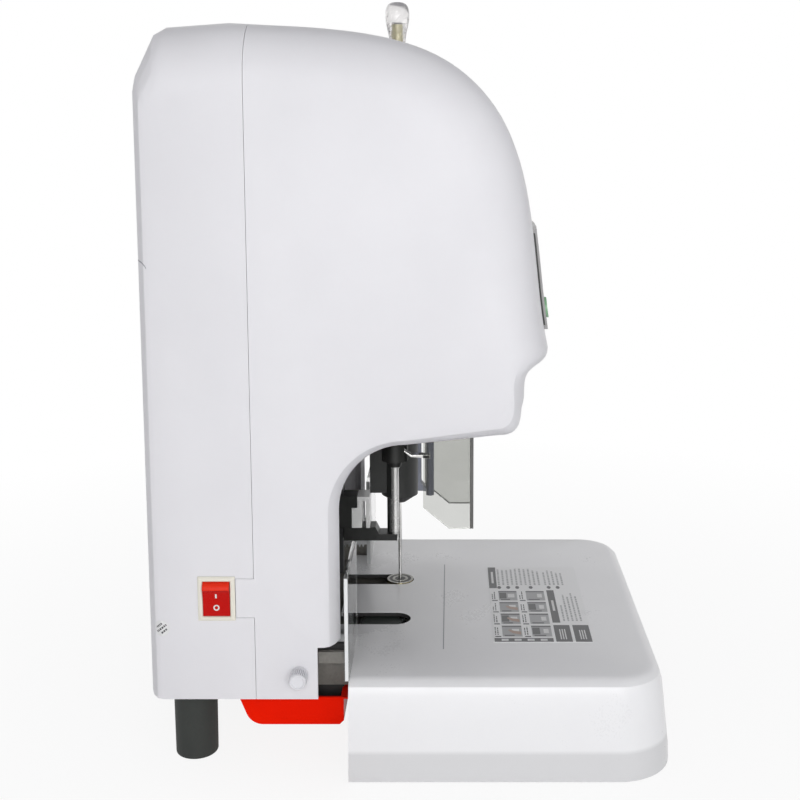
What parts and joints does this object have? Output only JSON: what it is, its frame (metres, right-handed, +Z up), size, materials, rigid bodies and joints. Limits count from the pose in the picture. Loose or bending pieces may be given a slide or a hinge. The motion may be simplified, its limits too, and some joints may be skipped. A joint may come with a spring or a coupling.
{
  "type": "document riveting machine",
  "caption": "Bench machine that drills and rivets paper packs: tall moulded head over a wide table, with drill, rivet head, clear fence, guard and chip tray.",
  "frame": {"origin": "on the desk under the middle of the overall box", "axes": "+X to the operator's right, +Y away from the operator, +Z up; the drill is at -X"},
  "size_m": [0.314, 0.368, 0.5395],
  "materials": {
    "body_white": "fine moulded texture, satin",
    "table_white": "satin paint",
    "casting": "as cast, dark grey",
    "steel_plate": "zinc plated",
    "black_metal": "black oxide",
    "bright_steel": "ground and polished",
    "label": "printed sheet",
    "foot_rubber": "matt black",
    "motor_can": "black enamel",
    "machined_alloy": "machined",
    "belt_rubber": "matt",
    "black_plastic": "satin black",
    "pad_plastic": "turned nylon",
    "die_brass": "turned",
    "clear_plastic": "clear acrylic, polished",
    "knob_white": "satin",
    "tray_red": "moulded, semi gloss",
    "board_green": "solder mask",
    "bezel_ivory": "gloss",
    "rocker_red": "translucent red, gloss",
    "panel_grey": "satin film",
    "window_dark": "dark display glass",
    "key_green": "gloss",
    "key_red": "gloss"
  },
  "bodies": {
    "root": {"base_casting": "casting", "side_plates": "steel_plate", "back_plate": "steel_plate", "lower_head_plate": "steel_plate", "upper_head_plate": "steel_plate", "throat_plate": "black_metal", "front_cover": "body_white", "rear_cover": "body_white", "cover_screws": "bright_steel", "table_cover": "table_white", "table_label": "label", "feet": "foot_rubber", "guide_rods": "bright_steel", "feed_motors": "motor_can", "chip_duct": "black_plastic", "arm_rail": "bright_steel", "pad_holder": "machined_alloy", "rivet_die": "die_brass", "drill_guard": "clear_plastic", "locating_lamp": "black_plastic", "tray_rails": "steel_plate", "power_supply": "steel_plate", "control_board": "board_green", "switch_bezel": "bezel_ivory", "power_inlet": "black_plastic", "display_panel": "panel_grey", "display_window": "window_dark"},
    "drill_unit": {"drill_carriage": "machined_alloy", "spindle_sleeve": "machined_alloy", "spindle_bearings": "bright_steel", "drill_motor": "motor_can", "drive_belt": "belt_rubber", "drill_rack": "bright_steel", "chip_spout": "black_plastic"},
    "spindle": {"drill_spindle": "bright_steel", "spindle_pulley": "machined_alloy", "drill_chuck": "black_metal", "hollow_drill": "bright_steel"},
    "motor_rotor": {"motor_pulley": "machined_alloy"},
    "drill_gear": {"drill_pinion": "bright_steel"},
    "rivet_unit": {"rivet_carriage": "machined_alloy", "rivet_head": "black_plastic", "rivet_punch": "black_metal", "rivet_rack": "bright_steel"},
    "rivet_gear": {"rivet_pinion": "bright_steel"},
    "pin": {"centring_pin": "bright_steel"},
    "arm": {"presser_arm": "black_metal", "arm_block": "machined_alloy"},
    "fence": {"fence_plates": "clear_plastic", "fence_carriers": "machined_alloy"},
    "margin": {"margin_shaft": "bright_steel", "margin_knob": "knob_white"},
    "tray": {"chip_tray": "tray_red"},
    "rocker": {"power_rocker": "rocker_red"},
    "drill_button": {"drill_key": "key_green"},
    "rivet_button": {"rivet_key": "key_red"},
    "pad": {"drill_pad": "pad_plastic"},
    "rod": {"cleaning_rod": "die_brass", "rod_knob": "clear_plastic"}
  },
  "joints": [
    {"name": "drill_feed", "type": "slide", "parent": "root", "child": "drill_unit", "axis": [0, 0, -1], "range_m": [0, 0.071]},
    {"name": "spindle_spin", "type": "hinge", "parent": "drill_unit", "child": "spindle", "pos_m": [-0.0415, 0.014, 0.25], "axis": [0, 0, 1], "continuous": true},
    {"name": "motor_spin", "type": "hinge", "parent": "drill_unit", "child": "motor_rotor", "pos_m": [-0.0415, 0.078, 0.4], "axis": [0, 0, 1], "continuous": true},
    {"name": "drill_gear_turn", "type": "hinge", "parent": "root", "child": "drill_gear", "pos_m": [-0.099, 0.044, 0.3325], "axis": [0, 1, 0], "range_deg": [0, 272]},
    {"name": "rivet_press", "type": "slide", "parent": "root", "child": "rivet_unit", "axis": [0, 0, -1], "range_m": [0, 0.061]},
    {"name": "rivet_gear_turn", "type": "hinge", "parent": "root", "child": "rivet_gear", "pos_m": [0.099, 0.044, 0.3325], "axis": [0, 1, 0], "range_deg": [-234, 0]},
    {"name": "arm_press", "type": "slide", "parent": "root", "child": "arm", "axis": [0, 0, -1], "range_m": [0, 0.035]},
    {"name": "pin_lift", "type": "slide", "parent": "root", "child": "pin", "axis": [0, 0, 1], "range_m": [0, 0.066]},
    {"name": "fence_slide", "type": "slide", "parent": "root", "child": "fence", "axis": [0, -1, 0], "range_m": [0, 0.02]},
    {"name": "margin_turn", "type": "hinge", "parent": "root", "child": "margin", "pos_m": [0, 0.076, 0.0727], "axis": [1, 0, 0], "range_deg": [0, 192]},
    {"name": "tray_slide", "type": "slide", "parent": "root", "child": "tray", "axis": [-1, 0, 0], "range_m": [0, 0.18]},
    {"name": "power_switch", "type": "hinge", "parent": "root", "child": "rocker", "pos_m": [-0.138, 0.1321, 0.127], "axis": [0, 1, 0], "range_deg": [0, 12]},
    {"name": "drill_key_press", "type": "slide", "parent": "root", "child": "drill_button", "axis": [0, 1, 0], "range_m": [0, 0.0015], "stiffness_N_per_m": 300},
    {"name": "rivet_key_press", "type": "slide", "parent": "root", "child": "rivet_button", "axis": [0, 1, 0], "range_m": [0, 0.0015], "stiffness_N_per_m": 300},
    {"name": "pad_turn", "type": "hinge", "parent": "root", "child": "pad", "pos_m": [-0.0415, 0.025, 0.065], "axis": [0, 0, 1], "continuous": true},
    {"name": "rod_pull", "type": "slide", "parent": "root", "child": "rod", "axis": [0, 0, 1], "range_m": [0, 0.058]}
  ],
  "couplings": [
    {"joint": "motor_spin", "follows": "spindle_spin", "ratio": 1.8},
    {"joint": "drill_gear_turn", "follows": "drill_feed", "rad_per_m": 66.667},
    {"joint": "rivet_gear_turn", "follows": "rivet_press", "rad_per_m": -66.667},
    {"joint": "arm_press", "follows": "rivet_press", "ratio": 0.5737},
    {"joint": "margin_turn", "follows": "fence_slide", "rad_per_m": 166.67}
  ]
}
